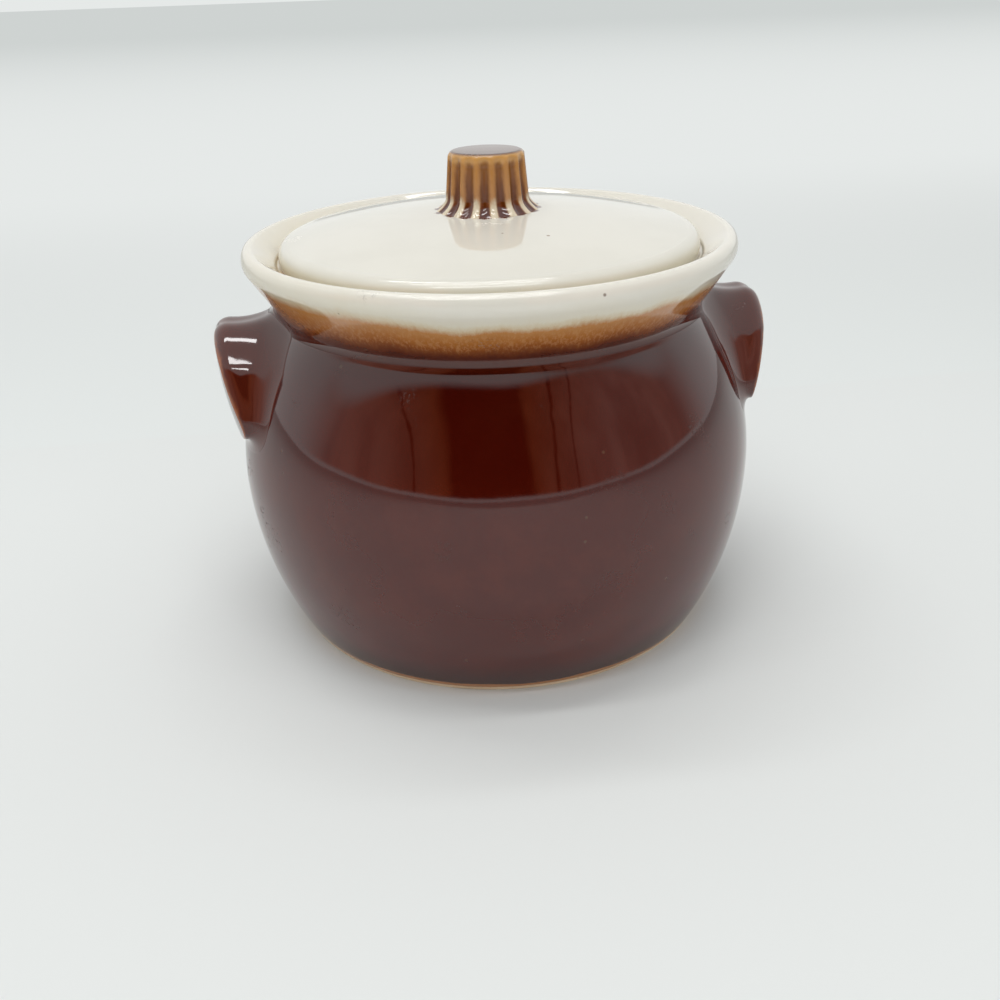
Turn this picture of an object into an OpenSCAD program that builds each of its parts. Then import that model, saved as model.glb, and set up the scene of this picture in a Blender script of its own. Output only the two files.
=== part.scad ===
// Two-quart stoneware bean pot with two lug ears and a loose drop-in lid.
// Millimetres, +Z up, origin at the centre of the ring that the pot stands on, ears along X.

/* [Pot] */
// Outside diameter of the bare foot ring
foot_d = 147.4; // [138:0.2:156]
// Height of the bare foot below the glaze
foot_h = 2; // [1:0.5:4]
// Step from the bare foot out to the glazed wall
foot_step = 0.8; // [0.7:0.1:2]
// Width of the flat ring that the pot stands on
foot_w = 7; // [4:0.5:12]
// Depth of the hollow under the floor
well_depth = 2.5; // [1.5:0.5:3.5]
// Widest outside diameter
belly_d = 175.4; // [168:0.2:184]
// Height of the widest part
belly_z = 55; // [46:1:60]
// Radius of the tight hollow curve where the shoulder turns up into the flare
neck_curve_r = 4; // [2.4:0.1:8]
// Outside diameter of the rim
rim_d = 161; // [158:0.2:165]
// Height of the top of the rim
rim_z = 130.4; // [128:0.2:134]
// Drop from the top of the rim to the neck, the narrowest place
neck_drop = 22.8; // [20:0.2:26]
// Radius of the lip's outer side
lip_r = 4.8; // [4:0.1:5.4]
// Radius of the tighter curve over the lip's top
lip_top_r = 2.4; // [1.8:0.1:3]
// Angle up the lip's outer side at which the tighter curve takes over
lip_turn = 30; // [20:2:50]
// Thickness of the wall, glaze included
wall = 6.5; // [5:0.5:7.5]
// Thickness of the floor above the foot ring
floor_t = 8; // [6:0.5:10]
// Radius inside between the floor and the wall
floor_curve_r = 12; // [8:1:16]

/* [Lid seat] */
// Width of the rim, from its outer edge in to the recess that the lid drops into
rim_w = 10.9; // [9.8:0.1:12.4]
// Width of the ledge in the recess, from there in to the throat
ledge_w = 6.5; // [5:0.1:8]
// Depth of the seat's ledge below the rim
seat_depth = 6.4; // [5.6:0.2:7.8]
// Height of the short upright edge round the ledge, below the lip's sloping inner side
seat_step = 0.7; // [0.5:0.1:1.5]

/* [Glaze] */
// Thickness of the glaze coats
glaze_t = 0.6; // [0.4:0.1:0.7]
// How far below the rim the cream glaze ends outside
cream_drop = 10.6; // [9.6:0.2:14]

/* [Ears] */
// How far an ear stands out past the belly
ear_out = 4.5; // [2:0.1:8]
// Width of one ear halfway up
ear_w = 50.8; // [40:0.4:56]
// Share by which an ear is wider below its middle and narrower above it
ear_flare = 0.57; // [0.2:0.01:0.6]
// Squareness of the outline: 2 is an ellipse, more is squarer
ear_square = 3.9; // [2.4:0.1:4.2]
// Drop from the top of the rim to an ear's top
ear_drop = 20.4; // [19:0.2:25]
// Height of an ear
ear_h = 41; // [36:0.5:43]
// Height of the arched top part of an ear
ear_arch_h = 13.5; // [11:0.5:20]
// Drop from an ear's top to where its outer face stands out furthest
ear_face_drop = 9.6; // [6:0.2:16]
// How far the lower edge stands out of the pot's wall, where the face leans in to it
ear_tip = 1.1; // [0.7:0.1:3]
// Radius of the outer face, seen from above
ear_face_r = 74; // [60:1:140]
// Radius of the outer edge
ear_edge_r = 5; // [3:0.2:7]
// Radius of the curve where the ear meets the pot
ear_root_r = 6.3; // [3:0.1:8]
// How far the sides draw in from the pot to the outer edge
ear_draft = 3.1; // [1:0.1:5]
// Depth of the finger hollow in the ear's sides
ear_hollow = 2.2; // [0:0.2:3]

/* [Lid] */
// Gap all round between the lid and its recess
lid_gap = 1; // [0.5:0.1:1.5]
// Height of the lid's shoulder above its seat
lid_edge_h = 7; // [6:0.5:9]
// Radius of the lid's rounded shoulder
lid_edge_r = 4.2; // [3:0.2:5]
// Rise of the crown above the shoulder
lid_crown = 7; // [4:0.5:10]
// Thickness of the lid
lid_t = 6; // [4.5:0.5:7]
// Gap between the locating ring and the pot's throat
ring_gap = 2.2; // [1:0.2:4]
// Width of the locating ring under the lid
ring_w = 4.8; // [3:0.2:7]
// Depth of the locating ring below the seat
ring_h = 8; // [4:0.5:12]

/* [Knob] */
// Height of the knob above the lid
knob_h = 18.6; // [14:0.2:24]
// Diameter of the knob under its rounded top edge
knob_top_d = 24.4; // [20:0.2:28]
// Diameter of the knob above its spreading root
knob_low_d = 27; // [22:0.2:30]
// Diameter of the root on the lid
knob_root_d = 33.6; // [32:0.2:36]
// Height of the spreading root
knob_root_h = 4.4; // [3:0.2:6]
// Radius of the rounded top edge
knob_edge_r = 1.8; // [1:0.1:3]
// Number of flutes round the knob
flutes = 16; // [8:1:24]
// Depth of a flute
flute_depth = 1.1; // [0.4:0.1:1.6]

/* [Hidden] */
$fn = 96;
clay = [0.78, 0.62, 0.46];
brown = [0.30, 0.11, 0.07];
cream = [0.89, 0.87, 0.80];
amber = [0.50, 0.26, 0.10];
curve_step = 4; // degrees between the points of an arc

// Points of an arc about centre c, radius r, from angle a to angle b.
function arc(c, r, a, b) =
    let (n = max(2, ceil(abs(b - a) / curve_step)))
    [for (i = [0:n]) c + r * [cos(a + (b - a) * i / n), sin(a + (b - a) * i / n)]];

// The pot's outline runs tangent all the way: arcs for the lower belly, the shoulder and the
// neck, a straight flare, and two arcs over the lip.
belly_r = belly_d / 2;
seat_r = rim_d / 2 - rim_w;
throat_r = seat_r - ledge_w;
neck_r = throat_r + wall;
neck_z = rim_z - neck_drop;
wall_foot_r = foot_d / 2 + foot_step;
lower_r = (pow(belly_z - foot_h, 2) + pow(belly_r - wall_foot_r, 2)) / (2 * (belly_r - wall_foot_r));
lower_c = [belly_r - lower_r, belly_z];
lower_a = -asin((belly_z - foot_h) / lower_r);
shoulder_r = (pow(neck_z - belly_z, 2) + pow(belly_r - neck_r, 2)) / (2 * (belly_r - neck_r)) - neck_curve_r;
shoulder_c = [belly_r - shoulder_r, belly_z];
neck_c = [neck_r + neck_curve_r, neck_z];
shoulder_a = atan2(neck_c.y - shoulder_c.y, neck_c.x - shoulder_c.x);
shoulder_top_z = belly_z + shoulder_r * sin(shoulder_a);
lip_c = [rim_d / 2 - lip_r, rim_z - lip_top_r - (lip_r - lip_top_r) * sin(lip_turn)];
lip_top_c = lip_c + (lip_r - lip_top_r) * [cos(lip_turn), sin(lip_turn)];
flare_span = lip_c - neck_c;
flare_a = atan2(flare_span.x, flare_span.y) + asin((neck_curve_r + lip_r) / norm(flare_span)); // from upright
flare_n = [cos(flare_a), -sin(flare_a)];
flare_low = neck_c - neck_curve_r * flare_n;
cream_z = rim_z - cream_drop;
cream_point = [flare_low.x + (cream_z - flare_low.y) * tan(flare_a), cream_z];

seat_z = rim_z - seat_depth;
seat_span = lip_top_c - [seat_r, seat_z + seat_step];
seat_slope = atan2(seat_span.y, seat_span.x) + asin(lip_top_r / norm(seat_span)); // from level

// Outer outline d below the glazed surface, in three stretches.
function wall_curve(d) = concat(
    arc(lower_c, lower_r - d, lower_a, 0),
    arc(shoulder_c, shoulder_r - d, 0, shoulder_a),
    arc(neck_c, neck_curve_r + d, 180 + shoulder_a, 180 - flare_a),
    [cream_point - d * flare_n]);
function flare_curve(d) = [cream_point - d * flare_n, lip_c + (lip_r - d) * flare_n];
function lip_curve(d) = concat(
    arc(lip_c, lip_r - d, -flare_a, lip_turn),
    arc(lip_top_c, lip_top_r - d, lip_turn, 90 + seat_slope));

// Inner outline, d behind the glazed surface, from the lip down to the middle of the floor.
floor_arc_z = floor_t + floor_curve_r;
floor_arc_r = lower_c.x + sqrt(pow(lower_r - wall - floor_curve_r, 2) - pow(belly_z - floor_arc_z, 2));
floor_a = atan2(floor_arc_z - belly_z, floor_arc_r - lower_c.x);
function slope_foot(d) =
    let (start = lip_top_c + (lip_top_r - d) * [-sin(seat_slope), cos(seat_slope)])
    [seat_r + d, start.y - (start.x - seat_r - d) * tan(seat_slope)];
function inner_curve(d) = concat(
    [slope_foot(d), [seat_r + d, seat_z - d], [throat_r + d, seat_z - d]],
    arc(neck_c, neck_curve_r + wall - d, 180, 180 + shoulder_a),
    arc(shoulder_c, shoulder_r - wall + d, shoulder_a, 0),
    arc(lower_c, lower_r - wall + d, 0, floor_a),
    arc([floor_arc_r, floor_arc_z], floor_curve_r + d, floor_a, -90),
    [[0, floor_t - d]]);

function reversed(points) = [for (i = [len(points) - 1:-1:0]) points[i]];

// Underside: a flat ring to stand on, round a shallow hollow.
foot_r = foot_d / 2;
foot_round = 0.6;
function foot_curve() = [
    [0, well_depth],
    [foot_r - foot_w - well_depth, well_depth],
    [foot_r - foot_w, 0],
    [foot_r - foot_round, 0],
    [foot_r, foot_round],
    [foot_r, foot_h]];

// Fired clay wall with its foot, neck, rim and lid seat.
module pot_body() {
    color(clay)
        rotate_extrude()
            polygon(concat(foot_curve(), wall_curve(glaze_t), flare_curve(glaze_t),
                lip_curve(glaze_t), inner_curve(glaze_t)));
}

// Brown glaze coat on the outside, open where the ears are joined to the clay.
module outer_glaze() {
    color(brown)
        difference() {
            rotate_extrude()
                polygon(concat(wall_curve(0), reversed(wall_curve(glaze_t))));
            ear_window();
            rotate([0, 0, 180]) ear_window();
        }
}

// Cream glaze coat over the lip, on the lid seat and all over the inside.
module liner_glaze() {
    color(cream)
        rotate_extrude()
            polygon(concat(flare_curve(0), lip_curve(0), inner_curve(0),
                reversed(concat(flare_curve(glaze_t), lip_curve(glaze_t), inner_curve(glaze_t)))));
}

// Outside radius of the glazed wall at height z.
function wall_r(z) =
    z < belly_z ? lower_c.x + sqrt(pow(lower_r, 2) - pow(z - belly_z, 2))
    : z < shoulder_top_z ? shoulder_c.x + sqrt(pow(shoulder_r, 2) - pow(z - belly_z, 2))
    : z < flare_low.y ? neck_c.x - sqrt(pow(neck_curve_r, 2) - pow(z - neck_z, 2))
    : flare_low.x + (z - flare_low.y) * tan(flare_a);

// An ear is lofted from rings of one outline: a squared-off arch, wider low down.
ear_points = 64;
ear_top_z = rim_z - ear_drop;
ear_mid_z = ear_top_z - ear_arch_h;
ear_low_z = ear_top_z - ear_h;
ear_face_z = ear_top_z - ear_face_drop;
ear_top_reach = belly_r + ear_out;
ear_curl = (ear_top_reach - wall_r(ear_low_z) - ear_tip) / pow(ear_face_z - ear_low_z, 2);
ear_sink = 3; // how far the blank reaches into the wall before it is cut
even_out = 8; // degrees that spread the points evenly along a squared outline

function squared(v) = sign(v) * pow(abs(v), 2 / ear_square);
// Outline at step angle t, drawn in by d: [sideways, height].
function ear_outline(t, d) =
    let (a = t - even_out * sin(4 * t),
         c = squared(cos(a)),
         s = squared(sin(a)),
         side = (ear_w / 2) * c * (1 - ear_flare * s),
         up = s * (s > 0 ? ear_top_z - ear_mid_z : ear_mid_z - ear_low_z),
         size = norm([side, up]))
    [side, up] * (size - d) / size + [0, ear_mid_z];
function wall_reach(p) = sqrt(pow(wall_r(p.y), 2) - pow(p.x, 2));
function ear_reach(p) =
    ear_top_reach - ear_curl * pow(p.y - ear_face_z, 2) - pow(p.x, 2) / (2 * ear_face_r);

// Rings as [share of the root curve, share of the side, share of the edge curve], root first.
ear_rings = concat(
    [for (i = [0:4]) [1 - i / 4, 0, 0]],
    [for (i = [1:3]) [0, i / 4, 0]],
    [for (i = [0:5]) [0, 1, i / 5]]);
ear_cap = [0.8, 0.6, 0.4, 0.2];
root_open = 68; // degrees of the root curve, short of tangent to the wall
root_most = 0.4; // most of the ear's reach that the root curve takes
edge_most = 0.55; // most of the ear's reach that the outer edge's curve takes

function ear_ring_point(a, ring) =
    let (rim_point = ear_outline(a, ear_draft),
         full = ear_reach(rim_point) - wall_reach(rim_point),
         root = min(ear_root_r, root_most * full),
         edge = min(ear_edge_r, edge_most * full),
         root_h = root * (1 - sin(root_open * ring[0])),
         root_d = root * (1 - cos(root_open * ring[0])),
         side_h = root + (full - root - edge) * ring[1],
         edge_h = full - edge * (1 - sin(90 * ring[2])),
         edge_d = edge * (1 - cos(90 * ring[2])),
         h = ring[0] > 0 ? root_h : ring[2] > 0 ? edge_h : side_h,
         share = h / full,
         d = ear_draft * share + ear_hollow * sin(180 * share) + edge_d - (ring[0] > 0 ? root_d : 0),
         p = ear_outline(a, d))
    [wall_reach(p) + h * (ear_reach(p) - wall_reach(p)) / full, p.x, p.y];
function ear_sunk_point(a) =
    let (q = ear_ring_point(a, [1, 0, 0])) [q.x - ear_sink, q.y, q.z];
function ear_cap_point(a, share) =
    let (q = ear_ring_point(a, [0, 1, 1]),
         p = [q.y * share, ear_mid_z + (q.z - ear_mid_z) * share])
    [ear_reach(p), p.x, p.y];

// Skin of a loft, clockwise from outside: side quads as triangles, then a fan at each end.
function loft_faces(rings, n, start_tip, end_tip) = concat(
    [for (k = [0:rings - 2], i = [0:n - 1])
        [k * n + i, (k + 1) * n + (i + 1) % n, k * n + (i + 1) % n]],
    [for (k = [0:rings - 2], i = [0:n - 1])
        [k * n + i, (k + 1) * n + i, (k + 1) * n + (i + 1) % n]],
    [for (i = [0:n - 1]) [start_tip, i, (i + 1) % n]],
    [for (i = [0:n - 1]) [end_tip, (rings - 1) * n + (i + 1) % n, (rings - 1) * n + i]]);

module ear_blank() {
    angles = [for (i = [0:ear_points - 1]) 360 * i / ear_points];
    inner_tip = [wall_r(ear_mid_z) - 2 * ear_sink, 0, ear_mid_z];
    outer_tip = [ear_reach([0, ear_mid_z]), 0, ear_mid_z];
    points = concat(
        [for (a = angles) ear_sunk_point(a)],
        [for (ring = ear_rings, a = angles) ear_ring_point(a, ring)],
        [for (share = ear_cap, a = angles) ear_cap_point(a, share)],
        [inner_tip, outer_tip]);
    rings = 1 + len(ear_rings) + len(ear_cap);
    polyhedron(points, loft_faces(rings, ear_points, rings * ear_points, rings * ear_points + 1));
}

// Opening through the brown glaze behind an ear, inside the ear's own outline.
window_margin = 5;
module ear_window() {
    rotate([90, 0, 90])
        linear_extrude(height = ear_top_reach)
            polygon([for (a = [0:15:345]) ear_outline(a, window_margin)]);
}
module inside_wall(d) {
    rotate_extrude()
        polygon(concat([[0, foot_h]], wall_curve(d), flare_curve(d), [[0, lip_c.y]]));
}

// Lug ear along +X: it sits on the brown glaze and, through the window, on the clay.
module ear() {
    color(brown)
        difference() {
            ear_blank();
            difference() {
                inside_wall(0);
                difference() {
                    ear_window();
                    inside_wall(glaze_t);
                }
            }
        }
}

module right_ear() {
    ear();
}

module left_ear() {
    rotate([0, 0, 180]) ear();
}

// Lid: a crowned plate with a rounded shoulder and a locating ring below.
lid_r = seat_r - lid_gap;
shoulder_z = seat_z + lid_edge_h;
shoulder_in = lid_r - lid_edge_r;
crown_r = (pow(shoulder_in, 2) + pow(lid_crown, 2)) / (2 * lid_crown);
crown_c = [0, shoulder_z + lid_crown - crown_r];
crown_edge_a = acos(shoulder_in / crown_r);
knob_pad_margin = 0.4; // how far the flat pad under the knob reaches past its root
knob_pad_r = knob_root_d / 2 + knob_pad_margin;
knob_pad_a = acos(knob_pad_r / crown_r);
knob_z = crown_c.y + crown_r * sin(knob_pad_a);
ring_out = throat_r - ring_gap;
ring_in = ring_out - ring_w;
ring_round = 1.2;
lid_foot_round = 0.8;
lid_edge_a = 88; // where the shoulder's curve meets the crown

module lid_plate() {
    under_r = crown_r - lid_t;
    color(cream)
        rotate_extrude()
            polygon(concat(
                [[0, knob_z]],
                arc(crown_c, crown_r, knob_pad_a, crown_edge_a),
                arc([shoulder_in, shoulder_z - lid_edge_r], lid_edge_r, lid_edge_a, 0),
                [[lid_r, seat_z + lid_foot_round], [lid_r - lid_foot_round, seat_z], [ring_out, seat_z]],
                arc([ring_out - ring_round, seat_z - ring_h + ring_round], ring_round, 0, -90),
                arc([ring_in + ring_round, seat_z - ring_h + ring_round], ring_round, -90, -180),
                arc(crown_c, under_r, acos(ring_in / under_r), 90)));
}

// Fluted knob: a tapered post whose flutes run out over a spreading root.
knob_steps = 6;
knob_crowding = 1.5; // draws the steps towards the root
flute_points = 8;
function knob_r(h) =
    let (root = max(0, 1 - h / knob_root_h),
         post = knob_low_d + (knob_top_d - knob_low_d) * max(0, h - knob_root_h) / (knob_h - knob_root_h))
    post / 2 + (knob_root_d - knob_low_d) / 2 * root * root;
function knob_ring(h, shrink, depth) = [
    for (i = [0:flutes * flute_points - 1])
        let (a = 360 * i / (flutes * flute_points),
             r = knob_r(h) - shrink - depth * (1 - cos(flutes * a)) / 2)
        [r * cos(a), r * sin(a), knob_z + h]];

module lid_knob() {
    n = flutes * flute_points;
    edge_z = knob_h - knob_edge_r;
    post = [for (i = [0:knob_steps]) edge_z * pow(i / knob_steps, knob_crowding)];
    rings = concat(
        [for (h = post) knob_ring(h, 0, flute_depth)],
        [for (a = [22.5:22.5:90])
            knob_ring(edge_z + knob_edge_r * sin(a), knob_edge_r * (1 - cos(a)), flute_depth * cos(a))]);
    points = concat([for (ring = rings, p = ring) p], [[0, 0, knob_z], [0, 0, knob_z + knob_h]]);
    color(amber)
        polyhedron(points, loft_faces(len(rings), n, len(rings) * n, len(rings) * n + 1));
}

pot_body();
outer_glaze();
liner_glaze();
left_ear();
right_ear();
lid_plate();
lid_knob();
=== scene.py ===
"""Glazed stoneware bean pot with two lug ears and a loose lid. Metres, in the CAD frame."""

import math

import bpy
import numpy as np
from mathutils import Matrix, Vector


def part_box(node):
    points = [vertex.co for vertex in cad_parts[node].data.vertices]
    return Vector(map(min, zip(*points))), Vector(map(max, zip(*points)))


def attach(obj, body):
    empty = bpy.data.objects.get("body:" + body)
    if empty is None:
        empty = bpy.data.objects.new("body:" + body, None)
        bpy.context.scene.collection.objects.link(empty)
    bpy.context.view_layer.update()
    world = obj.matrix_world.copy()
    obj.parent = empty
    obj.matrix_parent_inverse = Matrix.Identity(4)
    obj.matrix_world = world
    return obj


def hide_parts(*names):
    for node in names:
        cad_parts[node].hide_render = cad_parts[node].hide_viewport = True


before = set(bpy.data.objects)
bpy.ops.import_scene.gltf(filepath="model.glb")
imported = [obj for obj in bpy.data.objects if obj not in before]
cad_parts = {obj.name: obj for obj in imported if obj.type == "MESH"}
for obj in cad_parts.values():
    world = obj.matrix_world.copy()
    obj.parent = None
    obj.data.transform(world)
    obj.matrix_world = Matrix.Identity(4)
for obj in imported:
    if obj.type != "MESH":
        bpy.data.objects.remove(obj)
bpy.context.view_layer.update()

# ---------------------------------------------------------------- camera
# Held close in front of the pot and a little above it, and tipped slightly to one
# side. The ears' line is turned towards it on the left.

camera_distance = 0.3574
camera_height = 0.2064
camera_turn = math.radians(-7.27)  # about +Z, from straight in front of the pot
camera_aim = math.radians(0.11)  # off the pot's axis
camera_pitch = math.radians(26.04)
camera_roll = math.radians(-1.95)
lens_mm, film_mm = 38.88, 36.0

heading = camera_turn - camera_aim
forward = np.array(
    [
        -math.sin(heading) * math.cos(camera_pitch),
        math.cos(heading) * math.cos(camera_pitch),
        -math.sin(camera_pitch),
    ]
)
level_right = np.array([math.cos(heading), math.sin(heading), 0.0])
level_up = np.cross(level_right, forward)
right = math.cos(camera_roll) * level_right + math.sin(camera_roll) * level_up
up = np.cross(right, forward)
place = (
    camera_distance * math.sin(camera_turn),
    -camera_distance * math.cos(camera_turn),
    camera_height,
)
camera = bpy.data.objects.new("camera", bpy.data.cameras.new("camera"))
camera.data.lens = lens_mm
camera.data.sensor_width = film_mm
camera.data.clip_start = 0.01
camera.matrix_world = Matrix(
    [[right[i], up[i], -forward[i], place[i]] for i in range(3)] + [[0, 0, 0, 1]]
)
bpy.context.scene.collection.objects.link(camera)
bpy.context.scene.camera = camera


# ---------------------------------------------------------------- studio
# A white sheet on a table in a warm, dim room with a pale ceiling. The glaze mirrors
# the sheet low down, the room on the upper belly and the ceiling under the neck.


def add_node(tree, kind, inputs=None, **settings):
    """Adds one shader node. inputs maps a socket's name or number to a value or a socket."""
    made = tree.nodes.new(kind)
    for name, value in settings.items():
        setattr(made, name, value)
    for name, value in (inputs or {}).items():
        if isinstance(value, bpy.types.NodeSocket):
            tree.links.new(value, made.inputs[name])
        else:
            made.inputs[name].default_value = value
    return made


def add_math(tree, operation, a, b=0.0, c=0.0):
    """Value of one Math node."""
    return add_node(tree, "ShaderNodeMath", {0: a, 1: b, 2: c}, operation=operation).outputs[0]


def add_step(tree, value, low, high, start=0.0, end=1.0):
    """Smooth step of a value, from start at low to end at high."""
    return add_node(
        tree,
        "ShaderNodeMapRange",
        {"Value": value, "From Min": low, "From Max": high, "To Min": start, "To Max": end},
        interpolation_type="SMOOTHSTEP",
    ).outputs[0]


def add_ramp(tree, value, stops):
    """Colour by value, running from stop to stop, each stop (value, colour)."""
    ramp = add_node(tree, "ShaderNodeValToRGB", {"Fac": value})
    while len(ramp.color_ramp.elements) < len(stops):
        ramp.color_ramp.elements.new(0.5)
    for stop, (at, colour) in zip(ramp.color_ramp.elements, stops):
        stop.position = at
        stop.color = (*colour, 1.0)
    return ramp.outputs[0]


def add_mix(tree, share, a, b):
    """Colour that goes from a to b as share goes from 0 to 1."""
    made = add_node(tree, "ShaderNodeMix", {"Factor": share}, data_type="RGBA")
    for socket, value in ((made.inputs[6], a), (made.inputs[7], b)):
        if isinstance(value, bpy.types.NodeSocket):
            tree.links.new(value, socket)
        else:
            socket.default_value = (*value, 1.0)
    return made.outputs[2]


# The second colour is painted shade: the far sheet, seen directly, darkens to it.
backdrop_colour, far_backdrop_shade_colour = (0.79, 0.815, 0.805), (0.62, 0.65, 0.64)
daylight = (0.93, 0.95, 0.945)
sheet_light, ceiling_light = 0.95, 0.9
ceiling_dim = 0.45  # how much less of the ceiling's light falls than is mirrored
ceiling_drop = 0.52  # how much lower the ceiling's edge is mirrored out to the sides
room_light = (0.36, 0.37, 0.365)  # what the room sheds; room_stops is what is mirrored

world = bpy.data.worlds.new("studio")
bpy.context.scene.world = world
world.use_nodes = True
tree = world.node_tree
tree.nodes.clear()
direction = add_node(tree, "ShaderNodeTexCoord").outputs["Generated"]
across, ahead, height = add_node(tree, "ShaderNodeSeparateXYZ", {0: direction}).outputs
in_front = add_step(tree, ahead, 0.30, -0.20)
above_sheet = add_step(tree, height, 0.01, 0.035)
bent_height = add_math(
    tree, "MULTIPLY_ADD", add_math(tree, "POWER", across, 4.0), ceiling_drop, height
)
below_ceiling = add_step(tree, bent_height, 0.80, 0.75)
room = add_math(tree, "MULTIPLY", in_front, add_math(tree, "MULTIPLY", above_sheet, below_ceiling))
folds = add_node(
    tree,
    "ShaderNodeTexNoise",
    {
        "Vector": add_node(
            tree, "ShaderNodeVectorMath", {0: direction, 1: (1.0, 1.0, 0.12)}, operation="MULTIPLY"
        ).outputs[0],
        "Scale": 5.0,
        "Detail": 3.0,
    },
).outputs[0]
aside = add_math(tree, "MULTIPLY_ADD", folds, 0.10, add_math(tree, "ADD", across, 0.11))
room_stops = [
    (0.25, (0.012, 0.006, 0.004)),
    (0.31, (0.42, 0.12, 0.05)),
    (0.50, (0.56, 0.22, 0.14)),
    (0.85, (0.66, 0.36, 0.30)),
]
mirrored_room = add_ramp(tree, add_math(tree, "ABSOLUTE", aside), room_stops)
edges = 1.0  # dark upright lines: the edges of doors and curtains
for at, width in ((-0.52, 0.012), (0.46, 0.016), (0.60, 0.010)):
    off = add_math(tree, "ABSOLUTE", add_math(tree, "SUBTRACT", aside, at))
    edges = add_math(tree, "MULTIPLY", edges, add_step(tree, off, width * 0.4, width, 0.15, 1.0))
room_strength = add_math(tree, "MULTIPLY", edges, add_step(tree, folds, 0.3, 0.7, 0.75, 1.25))
rays = add_node(tree, "ShaderNodeLightPath").outputs
above = add_math(tree, "MULTIPLY_ADD", rays["Is Diffuse Ray"], -ceiling_dim, ceiling_light)
open_light = add_step(tree, height, 0.45, 0.85, sheet_light, above)
room_seen = add_mix(tree, rays["Is Diffuse Ray"], mirrored_room, room_light)
dim = add_node(tree, "ShaderNodeBackground", {"Color": room_seen, "Strength": room_strength})
bright = add_node(
    tree, "ShaderNodeBackground", {"Color": (*daylight, 1.0), "Strength": open_light}
)
lit = add_node(tree, "ShaderNodeMixShader", {0: room, 1: bright.outputs[0], 2: dim.outputs[0]})
shown = add_node(
    tree, "ShaderNodeBackground", {"Color": (*backdrop_colour, 1.0), "Strength": 1.0}
)
both = add_node(
    tree,
    "ShaderNodeMixShader",
    {0: rays["Is Camera Ray"], 1: lit.outputs[0], 2: shown.outputs[0]},
)
add_node(tree, "ShaderNodeOutputWorld", {"Surface": both.outputs[0]})


def add_lamp(name, where, aim, width, length, watts, mirrored=True):
    """A soft rectangular lamp at where, facing aim. The glaze mirrors it or not."""
    lamp = bpy.data.objects.new(name, bpy.data.lights.new(name, "AREA"))
    lamp.data.shape = "RECTANGLE"
    lamp.data.size, lamp.data.size_y = width, length
    lamp.data.energy = watts
    lamp.visible_glossy = mirrored
    away = np.array(where, float) - np.array(aim, float)
    away /= np.linalg.norm(away)
    side = np.cross([0.0, 1.0, 0.0], away)
    side /= np.linalg.norm(side)
    top = np.cross(away, side)
    lamp.matrix_world = Matrix(
        [[side[i], top[i], away[i], where[i]] for i in range(3)] + [[0, 0, 0, 1]]
    )
    bpy.context.scene.collection.objects.link(lamp)


for name, strip_y, strip_z in (
    ("strip_near", -0.52, 1.25),
    ("strip_middle", -0.10, 1.35),
    ("strip_far", 0.30, 1.30),
):
    add_lamp(name, (-0.12, strip_y, strip_z), (0, 0, 0.1), 1.0, 0.08, 3.0)
add_lamp("overhead", (0.0, 0.3, 1.6), (0, 0, 0.1), 2.4, 2.0, 1.4, False)
add_lamp("front_fill", (0.0, -1.3, 0.55), (0, 0, 0.05), 1.8, 0.8, 5.0, False)

sheet_size = 12.0  # half its width
sheet_join = 0.17  # how far behind the pot a second length of the sheet begins
near_paper, join_paper = (0.76, 0.778, 0.768), (0.76, 0.785, 0.775)
sheet = bpy.data.meshes.new("white_sheet")
sheet.from_pydata(
    [(-sheet_size, -sheet_size, 0), (sheet_size, -sheet_size, 0),
     (sheet_size, sheet_size, 0), (-sheet_size, sheet_size, 0)],
    [],
    [(0, 1, 2, 3)],
)
white_sheet = bpy.data.objects.new("white_sheet", sheet)
bpy.context.scene.collection.objects.link(white_sheet)
sheet_finish = bpy.data.materials.new("white_sheet")
sheet_finish.use_nodes = True
tree = sheet_finish.node_tree
tree.nodes.clear()
spot = add_node(tree, "ShaderNodeTexCoord").outputs["Object"]
sheet_y = add_node(tree, "ShaderNodeSeparateXYZ", {0: spot}).outputs[1]
beyond = add_step(tree, sheet_y, sheet_join - 0.002, sheet_join + 0.004)
paper = add_mix(tree, beyond, near_paper, join_paper)
soft = add_node(tree, "ShaderNodeBsdfPrincipled", {"Base Color": paper, "Roughness": 0.7})
soft.inputs["Specular IOR Level"].default_value = 0.2
# Seen directly, the sheet glows in the backdrop colour, with painted shade darkening it from 1 m to
# 5 m away.
far_sheet_with_painted_shade = add_mix(
    tree, add_step(tree, sheet_y, 1.0, 5.0), backdrop_colour, far_backdrop_shade_colour
)
glow = add_node(tree, "ShaderNodeEmission", {"Color": far_sheet_with_painted_shade, "Strength": 1.0})
seen = add_node(tree, "ShaderNodeLightPath").outputs["Is Camera Ray"]
far = add_math(tree, "MULTIPLY", seen, add_step(tree, sheet_y, 0.15, 0.9))
paper_or_glow = add_node(
    tree, "ShaderNodeMixShader", {0: far, 1: soft.outputs[0], 2: glow.outputs[0]}
)
add_node(tree, "ShaderNodeOutputMaterial", {"Surface": paper_or_glow.outputs[0]})
sheet.materials.append(sheet_finish)


# ---------------------------------------------------------------- glaze coats of the pot
# The pot is one turned wall of stoneware. It was dipped in brown glaze, then its rim
# in cream, and the two ran into a caramel band where they met, outside and in the
# throat. The inside below is coloured brown, which the photo doesn't show.

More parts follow.
